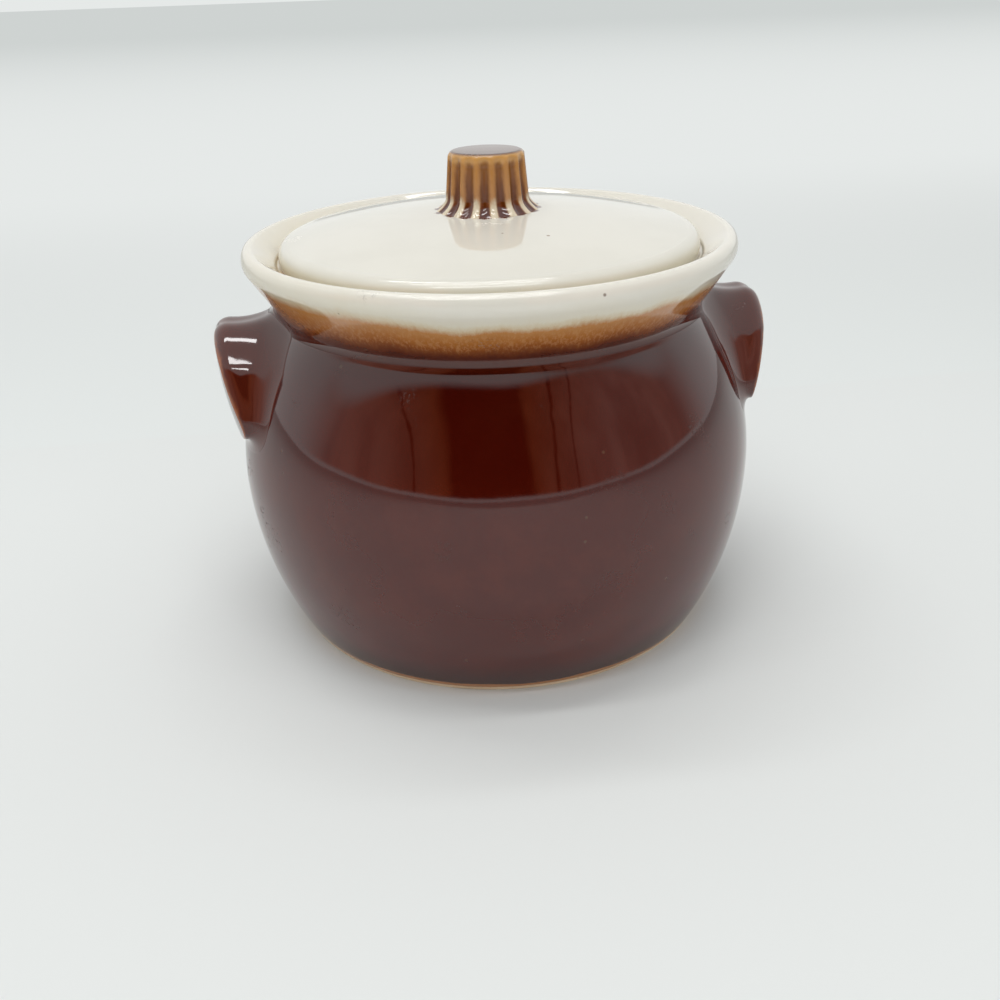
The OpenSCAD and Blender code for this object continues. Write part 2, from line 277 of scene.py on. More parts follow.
MM = 0.001
inset = 0.9993  # keeps the finer mesh inside the CAD's facets
turned_around = 192  # points round each turned piece
foot_r, foot_h, foot_step = 73.7 * MM, 2.0 * MM, 0.8 * MM
belly_r, belly_z = 87.7 * MM, 55.0 * MM
neck_r, neck_z, neck_curve_r = 69.6 * MM, 107.6 * MM, 4.0 * MM
rim_r, rim_z = 80.5 * MM, 130.4 * MM
lip_r, lip_top_r, lip_turn = 4.8 * MM, 2.4 * MM, 30.0
wall, floor_t, floor_curve_r = 6.5 * MM, 8.0 * MM, 12.0 * MM
seat_r, seat_z, seat_step = 69.6 * MM, 124.0 * MM, 0.7 * MM
coat_t = 0.6 * MM
cream_z = 119.8 * MM


def arc(centre, radius, start, end, step):
    """Points of an arc from angle start to angle end in degrees, about step apart."""
    n = max(2, int(math.ceil(abs(math.radians(end - start)) * radius / step)))
    a = np.radians(np.linspace(start, end, n + 1))
    return np.stack([centre[0] + radius * np.cos(a), centre[1] + radius * np.sin(a)], 1)


def line(start, end, step):
    """Points of a straight line from start to end, about step apart."""
    n = max(1, int(math.ceil(math.dist(start, end) / step)))
    return np.linspace(start, end, n + 1)


wall_foot_r = foot_r + foot_step
lower_r = ((belly_z - foot_h) ** 2 + (belly_r - wall_foot_r) ** 2) / (2 * (belly_r - wall_foot_r))
lower_c = (belly_r - lower_r, belly_z)
lower_a = -math.degrees(math.asin((belly_z - foot_h) / lower_r))
shoulder_r = (
    (neck_z - belly_z) ** 2 + (belly_r - neck_r) ** 2
) / (2 * (belly_r - neck_r)) - neck_curve_r
shoulder_c = (belly_r - shoulder_r, belly_z)
neck_c = (neck_r + neck_curve_r, neck_z)
shoulder_a = math.degrees(math.atan2(neck_c[1] - shoulder_c[1], neck_c[0] - shoulder_c[0]))
turn_slope = math.radians(lip_turn)
lip_c = (rim_r - lip_r, rim_z - lip_top_r - (lip_r - lip_top_r) * math.sin(turn_slope))
lip_top_c = (
    lip_c[0] + (lip_r - lip_top_r) * math.cos(turn_slope),
    lip_c[1] + (lip_r - lip_top_r) * math.sin(turn_slope),
)
seat_span = (lip_top_c[0] - seat_r, lip_top_c[1] - seat_z - seat_step)
seat_slope = math.atan2(*seat_span[::-1]) + math.asin(lip_top_r / math.hypot(*seat_span))
flare_span = (lip_c[0] - neck_c[0], lip_c[1] - neck_c[1])
flare_slope = math.atan2(*flare_span) + math.asin((neck_curve_r + lip_r) / math.hypot(*flare_span))
flare_a = math.degrees(flare_slope)
flare_out = np.array([math.cos(flare_slope), -math.sin(flare_slope)])
flare_low = neck_c - neck_curve_r * flare_out
flare_high = lip_c + lip_r * flare_out
cream_point = np.array([flare_low[0] + (cream_z - flare_low[1]) * math.tan(flare_slope), cream_z])
seam_gap = 0.04 * MM  # a row of points stands this far to each side of the cream line
seam = seam_gap * np.array([math.sin(flare_slope), math.cos(flare_slope)])
near_cream, past_cream = cream_point - seam, cream_point + seam
throat_r = neck_r - wall
floor_arc_z = floor_t + floor_curve_r
floor_arc_r = lower_c[0] + math.sqrt(
    (lower_r - wall - floor_curve_r) ** 2 - (belly_z - floor_arc_z) ** 2
)
floor_a = math.degrees(math.atan2(floor_arc_z - belly_z, floor_arc_r - lower_c[0]))


def brown_outline(d, step):
    """Outside of the pot from the foot to the cream line, d below the glaze."""
    return np.concatenate(
        [
            arc(lower_c, lower_r - d, lower_a, 0, step),
            arc(shoulder_c, shoulder_r - d, 0, shoulder_a, step)[1:],
            arc(neck_c, neck_curve_r + d, 180 + shoulder_a, 180 - flare_a, step * 0.4)[1:],
            line(flare_low - d * flare_out, near_cream - d * flare_out, step)[1:],
            [cream_point - d * flare_out],
        ]
    )


def cream_outline(d, step):
    """From the cream line over the lip, down past the lid's ledge to the floor's middle."""
    start = (
        lip_top_c[0] - (lip_top_r - d) * math.sin(seat_slope),
        lip_top_c[1] + (lip_top_r - d) * math.cos(seat_slope),
    )
    slope_foot = (seat_r + d, start[1] - (start[0] - seat_r - d) * math.tan(seat_slope))
    soften = 0.5 * MM
    return np.concatenate(
        [
            [cream_point - d * flare_out],
            line(past_cream - d * flare_out, flare_high - d * flare_out, step),
            arc(lip_c, lip_r - d, -flare_a, lip_turn, step * 0.4)[1:],
            arc(lip_top_c, lip_top_r - d, lip_turn, 90 + math.degrees(seat_slope), step * 0.3)[1:],
            line(start, slope_foot, step)[1:],
            [(seat_r + d, seat_z - d + soften * 0.9)],
            arc((seat_r + d - soften, seat_z - d + soften), soften, 0, -90, step * 0.3)[1:],
            arc((throat_r + d + soften, seat_z - d - soften), soften, 90, 180, step * 0.3),
            arc(neck_c, neck_curve_r + wall - d, 180, 180 + shoulder_a, step)[1:],
            arc(shoulder_c, shoulder_r - wall + d, shoulder_a, 0, step * 2)[1:],
            arc(lower_c, lower_r - wall + d, 0, floor_a, step * 2)[1:],
            arc((floor_arc_r, floor_arc_z), floor_curve_r + d, floor_a, -90, step)[1:],
            [(0.0, floor_t - d)],
        ]
    )


def grid_faces(low, high):
    """Four-sided faces between rows of point numbers that close into rings."""
    corners = [low, np.roll(low, -1, 1), np.roll(high, -1, 1), high]
    return np.stack(corners, 2).reshape(-1, 4).tolist()


def fan_faces(tip, ring, flipped=False):
    """Triangles from the point tip to each edge of a ring, the other way round if flipped."""
    after = np.roll(ring, -1)
    edges = zip(after, ring) if flipped else zip(ring, after)
    return [[tip, int(a), int(b)] for a, b in edges]


def turned(name, outline, around, closed=False):
    """A surface of revolution about Z through the outline's (radius, height) points.

    A point on the axis becomes a pole. A closed outline is a ring with no pole.
    """
    angle = np.linspace(0, 2 * math.pi, around, endpoint=False)
    outline = np.asarray(outline, float)
    on_axis = outline[:, 0] < 1e-9
    rings = outline[~on_axis]
    points = np.stack(
        [
            rings[:, :1] * np.cos(angle) * inset,
            rings[:, :1] * np.sin(angle) * inset,
            np.repeat(rings[:, 1:], around, 1),
        ],
        2,
    ).reshape(-1, 3)
    rows = len(rings)
    ids = np.arange(rows * around).reshape(rows, around)
    low = ids if closed else ids[:-1]
    high = np.roll(ids, -1, 0) if closed else ids[1:]
    faces = grid_faces(low, high)
    poles = outline[on_axis]
    for k in range(len(poles)):
        tip = rows * around + k
        ring = ids[0] if on_axis[0] and k == 0 else ids[-1]
        faces += fan_faces(tip, ring, flipped=ring[0] == 0)
    points = np.concatenate([points, [(0.0, 0.0, p[1]) for p in poles]]) if len(poles) else points
    return add_piece(name, points, faces)


def add_piece(name, points, faces):
    """A smooth-shaded mesh object, at the origin, from points and faces."""
    mesh = bpy.data.meshes.new(name)
    mesh.from_pydata(np.asarray(points).tolist(), [], faces)
    mesh.update()
    mesh.shade_smooth()
    piece = bpy.data.objects.new(name, mesh)
    bpy.context.scene.collection.objects.link(piece)
    return piece


def new_group(name, inputs, outputs):
    """A shader node group: inputs are (name, kind, default), outputs (name, kind)."""
    group = bpy.data.node_groups.new(name, "ShaderNodeTree")
    for socket, kind, default in inputs:
        made = group.interface.new_socket(socket, in_out="INPUT", socket_type=kind)
        made.default_value = default
    for socket, kind in outputs:
        group.interface.new_socket(socket, in_out="OUTPUT", socket_type=kind)
    return group, group.nodes.new("NodeGroupInput"), group.nodes.new("NodeGroupOutput")


def add_noise(tree, where, scale, detail=2.0, roughness=0.5):
    """Noise value, 0 to 1, with features about 1/scale metres wide."""
    return add_node(
        tree,
        "ShaderNodeTexNoise",
        {"Vector": where, "Scale": scale, "Detail": detail, "Roughness": roughness},
    ).outputs[0]


def stretched(tree, where, factors):
    """Coordinates multiplied by factors."""
    return add_node(
        tree, "ShaderNodeVectorMath", {0: where, 1: factors}, operation="MULTIPLY"
    ).outputs[0]


def add_radius(tree, x, y):
    """Distance from the Z axis: the square root of x squared plus y squared."""
    x_squared, y_squared = add_math(tree, "MULTIPLY", x, x), add_math(tree, "MULTIPLY", y, y)
    return add_math(tree, "SQRT", add_math(tree, "ADD", x_squared, y_squared))


# Colour of the two dips by height: cream, the caramel band where they ran together, brown with
# painted shade that darkens it on the upper belly, a darker pool near the foot and an orange line
# where the glaze thins out.
dip_colours, given, result = new_group(
    "dip_colours",
    [("Cream Line", "NodeSocketFloat", cream_z)],
    [("Color", "NodeSocketColor")],
)
tree = dip_colours
spot = add_node(tree, "ShaderNodeTexCoord").outputs["Object"]
x, y, z = add_node(tree, "ShaderNodeSeparateXYZ", {0: spot}).outputs
radius = add_radius(tree, x, y)
sideways = add_step(
    tree, add_math(tree, "DIVIDE", add_math(tree, "ABSOLUTE", x), radius), 0.55, 0.98
)
tall = stretched(tree, spot, (1.0, 1.0, 0.16))
waver = add_math(tree, "SUBTRACT", add_noise(tree, spot, 45.0), 0.5)
runs = add_math(tree, "SUBTRACT", add_noise(tree, tall, 620.0, 5.0, 0.75), 0.5)
ragged_z = add_math(
    tree, "MULTIPLY_ADD", waver, 5.5 * MM, add_math(tree, "MULTIPLY_ADD", runs, 2.4 * MM, z)
)
rise = add_step(tree, add_math(tree, "DIVIDE", x, radius), -0.25, -0.65, 0.0, 3.2 * MM)
band = add_math(tree, "ADD", rise, add_step(tree, sideways, 0.0, 1.0, 8.8 * MM, 9.0 * MM))
cream_edge = add_math(tree, "ADD", given.outputs["Cream Line"], rise)
depth = add_math(tree, "DIVIDE", add_math(tree, "SUBTRACT", cream_edge, ragged_z), band)
dip_stops = [
    (0.00, (0.74, 0.708, 0.63)),
    (0.20, (0.72, 0.67, 0.55)),
    (0.27, (0.66, 0.55, 0.38)),
    (0.35, (0.47, 0.21, 0.065)),
    (0.48, (0.38, 0.135, 0.026)),
    (0.60, (0.25, 0.068, 0.011)),
    (0.74, (0.125, 0.026, 0.008)),
    (1.00, (0.064, 0.0045, 0.0012)),
]
dip_colour = add_ramp(tree, add_math(tree, "MULTIPLY_ADD", depth, 0.4, 0.3), dip_stops)
in_band = add_math(
    tree, "MULTIPLY", add_step(tree, depth, 0.0, 0.3), add_step(tree, depth, 1.0, 0.6)
)
flecks = add_step(tree, add_noise(tree, tall, 1100.0, 4.0, 0.7), 0.46, 0.60)
flecked = add_mix(
    tree,
    add_math(tree, "MULTIPLY", in_band, add_math(tree, "MULTIPLY", flecks, 0.45)),
    dip_colour,
    (0.50, 0.25, 0.10),
)
mottle = add_step(tree, add_noise(tree, spot, 70.0, 5.0, 0.6), 0.40, 0.72)
browned = add_step(tree, depth, 0.6, 1.3)
mottled = add_mix(
    tree,
    add_math(tree, "MULTIPLY", mottle, add_math(tree, "MULTIPLY", browned, 0.35)),
    flecked,
    (0.105, 0.013, 0.004),
)
# Painted shade: the brown is darkened on the upper belly, rising from 62 mm to 84 mm.
upper_belly_painted_shade = add_math(tree, "MULTIPLY", browned, add_step(tree, z, 62.0 * MM, 84.0 * MM, 0.0, 0.6))
shaded_brown_glaze = add_mix(tree, upper_belly_painted_shade, mottled, (0.032, 0.0012, 0.0003))
pooled = add_mix(
    tree, add_step(tree, z, 16.0 * MM, 4.0 * MM, 0.0, 0.75), shaded_brown_glaze, (0.020, 0.0035, 0.002)
)
line_z = add_math(tree, "MULTIPLY_ADD", waver, 2.2 * MM, z)
lined = add_mix(tree, add_step(tree, line_z, 3.9 * MM, 3.0 * MM), pooled, (0.36, 0.15, 0.055))
tree.links.new(lined, result.inputs["Color"])

# Small faults of a fired glaze: a faint ripple, pin-holes, stray brown specks and
# dull scuffs.
glaze_faults, given, result = new_group(
    "glaze_faults",
    [("Ripple", "NodeSocketFloat", 1.0), ("Seed", "NodeSocketFloat", 0.0)],
    [
        ("Height", "NodeSocketFloat"),
        ("Specks", "NodeSocketFloat"),
        ("Scuffs", "NodeSocketFloat"),
    ],
)
tree = glaze_faults
spot = add_node(
    tree,
    "ShaderNodeVectorMath",
    {0: add_node(tree, "ShaderNodeTexCoord").outputs["Object"], 1: given.outputs["Seed"]},
    operation="ADD",
).outputs[0]
broad = add_noise(tree, spot, 28.0, 1.0)
fine = add_noise(tree, spot, 520.0, 2.0)
cells = add_node(
    tree, "ShaderNodeTexVoronoi", {"Vector": spot, "Scale": 140.0, "Randomness": 1.0}
)
rare = add_node(tree, "ShaderNodeSeparateXYZ", {0: cells.outputs["Color"]}).outputs
speck = add_math(
    tree,
    "MULTIPLY",
    add_step(tree, cells.outputs["Distance"], 0.10, 0.05),
    add_math(tree, "GREATER_THAN", rare[0], 0.80),
)
patch = add_step(tree, add_noise(tree, spot, 55.0, 1.0), 0.66, 0.73)
crumbs = add_step(tree, add_noise(tree, spot, 900.0, 3.0, 0.7), 0.52, 0.62)
scuff = add_math(tree, "MULTIPLY", patch, crumbs)
ripple = add_math(
    tree,
    "MULTIPLY",
    add_math(tree, "MULTIPLY_ADD", fine, 0.012, add_math(tree, "MULTIPLY", broad, 0.9)),
    given.outputs["Ripple"],
)
tree.links.new(
    add_math(tree, "SUBTRACT", ripple, add_math(tree, "MULTIPLY", speck, 0.05)),
    result.inputs["Height"],
)
tree.links.new(speck, result.inputs["Specks"])
tree.links.new(scuff, result.inputs["Scuffs"])


def new_glaze(name, ripple, seed, smooth=0.055):
    """A glossy glaze material: returns (material, tree, shader, fault outputs)."""
    finish = bpy.data.materials.new(name)
    finish.use_nodes = True
    tree = finish.node_tree
    tree.nodes.clear()
    faults = add_node(tree, "ShaderNodeGroup", node_tree=glaze_faults)
    faults.inputs["Ripple"].default_value = ripple
    faults.inputs["Seed"].default_value = seed
    bump = add_node(
        tree,
        "ShaderNodeBump",
        {"Height": faults.outputs["Height"], "Strength": 0.35, "Distance": 1.0 * MM},
    )
    rough = add_math(tree, "MULTIPLY_ADD", faults.outputs["Scuffs"], 0.35, smooth)
    shader = add_node(
        tree,
        "ShaderNodeBsdfPrincipled",
        {"Roughness": rough, "Normal": bump.outputs[0]},
    )
    shader.inputs["IOR"].default_value = 1.62
    add_node(tree, "ShaderNodeOutputMaterial", {"Surface": shader.outputs[0]})
    return finish, tree, shader, faults


pot_glaze, tree, shader, faults = new_glaze("pot_glaze", 1.0, 0.0)
dips = add_node(tree, "ShaderNodeGroup", node_tree=dip_colours)
dips.inputs["Cream Line"].default_value = cream_z
specked = add_mix(
    tree,
    add_math(tree, "MULTIPLY", faults.outputs["Specks"], 0.7),
    dips.outputs["Color"],
    (0.09, 0.045, 0.025),
)
scuffed = add_mix(
    tree,
    add_math(tree, "MULTIPLY", faults.outputs["Scuffs"], 0.35),
    specked,
    (0.035, 0.012, 0.008),
)
tree.links.new(scuffed, shader.inputs["Base Color"])

brown_front = brown_outline(0.0, 1.0 * MM)
glaze_edge = arc(
    (brown_front[0][0] - coat_t / 2, brown_front[0][1] + 0.1 * MM), coat_t / 2, -160, -20, 0.15 * MM
)
brown_back = brown_outline(coat_t, 4.0 * MM)[::-1][:-1]
brown_loop = np.concatenate([glaze_edge, brown_front[1:], brown_back])
brown_coat = turned("brown_coat", brown_loop, turned_around, closed=True)
brown_coat.data.materials.append(pot_glaze)
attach(brown_coat, "pot")
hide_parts("outer_glaze")

cream_loop = np.concatenate(
    [cream_outline(coat_t, 4.0 * MM)[::-1], cream_outline(0.0, 1.0 * MM)]
)
cream_coat = turned("cream_coat", cream_loop, turned_around)
cream_coat.data.materials.append(pot_glaze)
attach(cream_coat, "pot")
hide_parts("liner_glaze")


# ---------------------------------------------------------------- bare foot
# The ring that the pot stands on and the hollow inside it were wiped clean of
# glaze before firing: buff stoneware, a little toasted near the glaze.

bare_clay = bpy.data.materials.new("bare_clay")
bare_clay.use_nodes = True
tree = bare_clay.node_tree
tree.nodes.clear()
spot = add_node(tree, "ShaderNodeTexCoord").outputs["Object"]
z = add_node(tree, "ShaderNodeSeparateXYZ", {0: spot}).outputs[2]
grit = add_noise(tree, spot, 700.0, 4.0, 0.65)
clouds = add_noise(tree, spot, 60.0, 3.0)
buff = add_mix(tree, add_step(tree, clouds, 0.35, 0.65), (0.58, 0.43, 0.29), (0.66, 0.52, 0.37))
gritty = add_mix(tree, add_step(tree, grit, 0.62, 0.72, 0.0, 0.5), buff, (0.28, 0.17, 0.10))
toasted = add_mix(tree, add_step(tree, z, 0.8 * MM, 2.0 * MM), gritty, (0.46, 0.25, 0.12))
clay_bump = add_node(
    tree, "ShaderNodeBump", {"Height": grit, "Strength": 0.5, "Distance": 0.2 * MM}
)
shader = add_node(
    tree, "ShaderNodeBsdfPrincipled", {"Base Color": toasted, "Normal": clay_bump.outputs[0]}
)
shader.inputs["Roughness"].default_value = 0.85
add_node(tree, "ShaderNodeOutputMaterial", {"Surface": shader.outputs[0]})
pot_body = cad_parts["pot_body"]
pot_body.data.materials.clear()
pot_body.data.materials.append(bare_clay)


# ---------------------------------------------------------------- lug ears
# Two pressed lugs, luted to the shoulder while the clay was soft and dipped with
# the pot. The brown glaze runs thin and amber along their outer edge.

ear_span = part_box("right_ear")[1].x * 2
ear_w, ear_flare, ear_square = 50.8 * MM, 0.57, 3.9
ear_top_z, ear_mid_z, ear_low_z = 110.0 * MM, 96.5 * MM, 69.0 * MM
ear_face_z, ear_tip, ear_face_r = 100.4 * MM, 1.1 * MM, 74.0 * MM
ear_edge_r, ear_root_r = 5.0 * MM, 6.3 * MM
ear_draft, ear_hollow, ear_sink = 3.1 * MM, 2.2 * MM, 2.0 * MM
ear_around = 192
even_out = 8.0  # degrees by which points are moved from the corners to the sides


def wall_radius(z):
    """Outside radius of the pot's wall at height z: the arc or flare that holds there."""
    shoulder_top = belly_z + shoulder_r * math.sin(math.radians(shoulder_a))
    return np.where(
        z < belly_z,
        lower_c[0] + np.sqrt(np.maximum(lower_r**2 - (z - belly_z) ** 2, 0)),
        np.where(
            z < shoulder_top,
            shoulder_c[0] + np.sqrt(np.maximum(shoulder_r**2 - (z - belly_z) ** 2, 0)),
            np.where(
                z < flare_low[1],
                neck_c[0] - np.sqrt(np.maximum(neck_curve_r**2 - (z - neck_z) ** 2, 0)),
                flare_low[0] + (z - flare_low[1]) * math.tan(flare_slope),
            ),
        ),
    ) * inset


def ear_outline(t, d):
    """(Sideways, height) at angle t of a superellipse, wider low down, drawn in by d."""
    a = np.radians(t - even_out * np.sin(np.radians(4 * t)))
    c, s = (np.sign(v) * np.abs(v) ** (2 / ear_square) for v in (np.cos(a), np.sin(a)))
    side = ear_w / 2 * c * (1 - ear_flare * s)
    rise = s * np.where(s > 0, ear_top_z - ear_mid_z, ear_mid_z - ear_low_z)
    size = np.hypot(side, rise)
    return side * (size - d) / size, rise * (size - d) / size + ear_mid_z


def wall_reach(side, z):
    """How far out the wall is: the root of its radius squared less side squared."""
    return np.sqrt(np.maximum(wall_radius(z) ** 2 - side**2, 0))


def ear_reach(side, z):
    """How far out the ear's face is: its reach less a parabola in height and one sideways."""
    curl = (ear_span / 2 - wall_radius(ear_low_z) - ear_tip) / (ear_face_z - ear_low_z) ** 2
    return ear_span / 2 - curl * (z - ear_face_z) ** 2 - side**2 / (2 * ear_face_r)


def ear_rings():
    """Rings of points from the wall outwards, with how thin the glaze is on each.

    A quarter-circle root, a side hollowed by half a sine wave, a quarter-circle edge,
    and then the face, drawn towards its middle.
    """
    t = np.linspace(0, 360, ear_around, endpoint=False)
    full = ear_reach(*ear_outline(t, ear_draft)) - wall_reach(*ear_outline(t, ear_draft))
    root, edge = np.minimum(ear_root_r, 0.4 * full), np.minimum(ear_edge_r, 0.55 * full)
    rings, thin = [], []

    def ring(h, d, thinness):
        side, z = ear_outline(t, d)
        reach = wall_reach(side, z) + h * (ear_reach(side, z) - wall_reach(side, z)) / full
        rings.append(np.stack([reach, side, z], 1))
        thin.append(np.full(ear_around, thinness))

    def side_draw(h):
        return ear_draft * h / full + ear_hollow * np.sin(math.pi * h / full)

    for open_angle in np.radians(np.linspace(88, 0, 12)):
        h = root * (1 - math.sin(open_angle))
        ring(h, side_draw(h) - root * (1 - math.cos(open_angle)), 0.0)
    for share in np.linspace(0, 1, 10)[1:]:
        h = root + (full - root - edge) * share
        ring(h, side_draw(h), 0.25 * share**4)
    for turn in np.radians(np.linspace(0, 90, 12)[1:]):
        h = full - edge * (1 - math.sin(turn))
        ring(h, side_draw(h) + edge * (1 - math.cos(turn)), 0.25 + 0.75 * math.sin(turn) ** 3)
    rim = rings[-1]
    for share in np.linspace(1, 0, 14)[1:-1]:
        side = rim[:, 1] * share
        z = ear_mid_z + (rim[:, 2] - ear_mid_z) * share
        rings.append(np.stack([ear_reach(side, z), side, z], 1))
        thin.append(np.full(ear_around, share**30))
    sunk = rings[0] - [ear_sink, 0, 0]
    return np.array([sunk] + rings), np.array([thin[0]] + thin)


def make_ear(name, side, node, glaze):
    """One lug on the +X (side 1) or -X (side -1) side, with its thinness attribute."""
    rings, thin = ear_rings()
    count = len(rings)
    turn = np.array([side, side, 1.0])
    inner = np.array([rings[0][:, 0].min() - ear_sink, 0, ear_mid_z])
    outer = np.array([ear_reach(np.array(0.0), np.array(ear_mid_z)), 0, ear_mid_z])
    points = np.concatenate([rings.reshape(-1, 3), [inner, outer]]) * turn
    ids = np.arange(count * ear_around).reshape(count, ear_around)
    faces = grid_faces(ids[:-1], ids[1:])
    faces += fan_faces(count * ear_around, ids[0], flipped=True)
    faces += fan_faces(count * ear_around + 1, ids[-1])
    piece = add_piece(name, points, faces)
    attribute = piece.data.attributes.new("thin_glaze", "FLOAT", "POINT")
    attribute.data.foreach_set("value", np.append(thin.ravel(), [0.0, 0.0]))
    piece.data.materials.append(glaze)
    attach(piece, "pot")
    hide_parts(node)


ear_glaze, tree, shader, _ = new_glaze("ear_glaze", 1.0, 0.0)
dips = add_node(tree, "ShaderNodeGroup", node_tree=dip_colours)
dips.inputs["Cream Line"].default_value = cream_z
thinness = add_node(tree, "ShaderNodeAttribute", attribute_name="thin_glaze").outputs["Fac"]
spot = add_node(tree, "ShaderNodeTexCoord").outputs["Object"]
breaking = add_math(
    tree,
    "MULTIPLY_ADD",
    add_math(tree, "SUBTRACT", add_noise(tree, spot, 160.0, 4.0), 0.5),
    0.7,
    thinness,
)
redder = add_mix(tree, 0.35, dips.outputs["Color"], (0.10, 0.018, 0.008))
amber = add_mix(
    tree, add_step(tree, breaking, 0.55, 1.0, 0.0, 0.9), redder, (0.32, 0.085, 0.018)
)
tree.links.new(amber, shader.inputs["Base Color"])

make_ear("right_lug", 1, "right_ear", ear_glaze)
make_ear("left_lug", -1, "left_ear", ear_glaze)


# ---------------------------------------------------------------- lid
# A loose domed plate, glazed cream on top, that drops onto the ledge inside the
# rim. The ledge side and the locating ring under it are bare, as they stood on
# the kiln shelf. The knob's brown glaze ran out onto it in claws.

lid_r = seat_r - 1.0 * MM
lid_edge_h, lid_edge_r, lid_crown, lid_t = 7.0 * MM, 4.2 * MM, 7.0 * MM, 6.0 * MM
ring_out = throat_r - 2.2 * MM
ring_in = ring_out - 4.8 * MM
ring_h, ring_round, lid_foot_round = 8.0 * MM, 1.2 * MM, 0.8 * MM
flutes = 16

shoulder_z = seat_z + lid_edge_h
shoulder_in = lid_r - lid_edge_r
crown_r = (shoulder_in**2 + lid_crown**2) / (2 * lid_crown)
crown_c = (0.0, shoulder_z + lid_crown - crown_r)
crown_edge_a = math.degrees(math.acos(shoulder_in / crown_r))
under_r = crown_r - lid_t
lid_outline = np.concatenate(
    [
        [(0.0, crown_c[1] + under_r)],
        arc(crown_c, under_r, 89, math.degrees(math.acos(ring_in / under_r)), 3 * MM),
        arc((ring_in + ring_round, seat_z - ring_h + ring_round), ring_round, 180, 270, 0.3 * MM),
        arc((ring_out - ring_round, seat_z - ring_h + ring_round), ring_round, -90, 0, 0.3 * MM),
        [(ring_out, seat_z - 0.3 * MM), (ring_out + 0.3 * MM, seat_z)],
        [(lid_r - lid_foot_round - 2 * MM, seat_z)],
        arc((lid_r - lid_foot_round, seat_z + lid_foot_round), lid_foot_round, -90, 0, 0.2 * MM),
        arc((lid_r - lid_edge_r, shoulder_z - lid_edge_r), lid_edge_r, 0, 88, 0.3 * MM),
        arc(crown_c, crown_r, crown_edge_a + 0.1, 89.7, 1.2 * MM),
        [(0.0, crown_c[1] + crown_r)],
    ]
)
lid_plate = turned("lid_top", lid_outline, turned_around)

lid_glaze, tree, shader, faults = new_glaze("lid_glaze", 1.0, 3.0)
spot = add_node(tree, "ShaderNodeTexCoord").outputs["Object"]
x, y, z = add_node(tree, "ShaderNodeSeparateXYZ", {0: spot}).outputs
radius = add_radius(tree, x, y)
tint = add_step(tree, add_noise(tree, spot, 40.0, 3.0), 0.35, 0.65)
cream = add_mix(tree, tint, (0.68, 0.655, 0.58), (0.705, 0.68, 0.605))
# Painted shade: the lower part of the lid's edge is painted darker and yellower.
lid_side_shade_share = add_step(tree, z, seat_z + 6.4 * MM, seat_z + 3.0 * MM)
shaded_lid_side = add_mix(tree, lid_side_shade_share, cream, (0.62, 0.57, 0.45))
specked = add_mix(
    tree, add_math(tree, "MULTIPLY", faults.outputs["Specks"], 0.8), shaded_lid_side, (0.20, 0.11, 0.05)
)


def add_flute_wave(tree, x, y, size):
    """One wave to each flute: 0.5 plus size times the cosine of flutes times the angle."""
    angle = add_math(tree, "ARCTAN2", y, x)
    wave = add_math(tree, "COSINE", add_math(tree, "MULTIPLY", angle, float(flutes)))
    return add_math(tree, "MULTIPLY_ADD", wave, size, 0.5)


groove = add_flute_wave(tree, x, y, -0.5)
claw_noise = add_math(tree, "SUBTRACT", add_noise(tree, spot, 620.0, 4.0, 0.7), 0.5)
claw_reach = add_math(
    tree,
    "MULTIPLY_ADD",
    claw_noise,
    5.0 * MM,
    add_math(tree, "MULTIPLY_ADD", groove, 1.6 * MM, 16.0 * MM),
)
claw = add_step(tree, add_math(tree, "SUBTRACT", radius, claw_reach), 0.6 * MM, -0.9 * MM)
clawed = add_mix(tree, claw, specked, (0.10, 0.020, 0.006))
bare = add_step(tree, z, seat_z + 0.6 * MM, seat_z + 0.2 * MM)
bared = add_mix(tree, bare, clawed, (0.60, 0.45, 0.31))
tree.links.new(bared, shader.inputs["Base Color"])
lid_plate.data.materials.append(lid_glaze)
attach(lid_plate, "lid")
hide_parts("lid_plate")


# ---------------------------------------------------------------- knob
# A fluted knob luted to the lid's middle. Brown glaze pooled in the flutes and
# broke amber on the ridges, whose feet stayed cream.

knob_h, knob_edge_r = 18.6 * MM, 1.8 * MM
knob_top_d, knob_low_d, knob_root_d = 24.4 * MM, 27.0 * MM, 33.6 * MM
knob_root_h, flute_depth = 4.4 * MM, 1.1 * MM
knob_sink = 1.0 * MM
edge_rise = 0.92  # share of the edge's radius; the cap's slight dome takes the rest
flute_sharpness = 0.9  # below 1 the ridges are narrower than the flutes
knob_around = flutes * 20
knob_pad_r = knob_root_d / 2 + 0.4 * MM
knob_z = crown_c[1] + crown_r * math.sin(math.acos(knob_pad_r / crown_r))

# Radius by height: a post that narrows evenly, a root that spreads as a square and a
# rounded edge, less one cosine wave to each flute.
edge_start = knob_h - knob_edge_r
post_h = edge_start * np.linspace(0, 1, 36) ** 1.4
turn = np.radians(np.linspace(0, 90, 10)[1:])
height = np.concatenate(
    [[-knob_sink], post_h, edge_start + knob_edge_r * np.sin(turn) * edge_rise]
)
post = knob_low_d + (knob_top_d - knob_low_d) * np.clip(
    (height - knob_root_h) / (knob_h - knob_root_h), 0, 1
)
root = np.clip(1 - height / knob_root_h, 0, 1)
smooth_r = post / 2 + (knob_root_d - knob_low_d) / 2 * root**2
smooth_r[0] = smooth_r[1] - 0.5 * MM
smooth_r[-len(turn):] -= knob_edge_r * (1 - np.cos(turn))
depth_here = np.full(len(height), flute_depth)
depth_here[-len(turn):] *= np.cos(turn)
depth_here *= np.clip((knob_h - height) / (4.0 * MM), 0.15, 1)
cap = np.linspace(1, 0, 8)[1:-1]
smooth_r = np.append(smooth_r, smooth_r[-1] * cap)
height = np.append(height, height[-1] + (knob_h - height[-1]) * (1 - cap**2))
depth_here = np.append(depth_here, np.zeros(len(cap)))

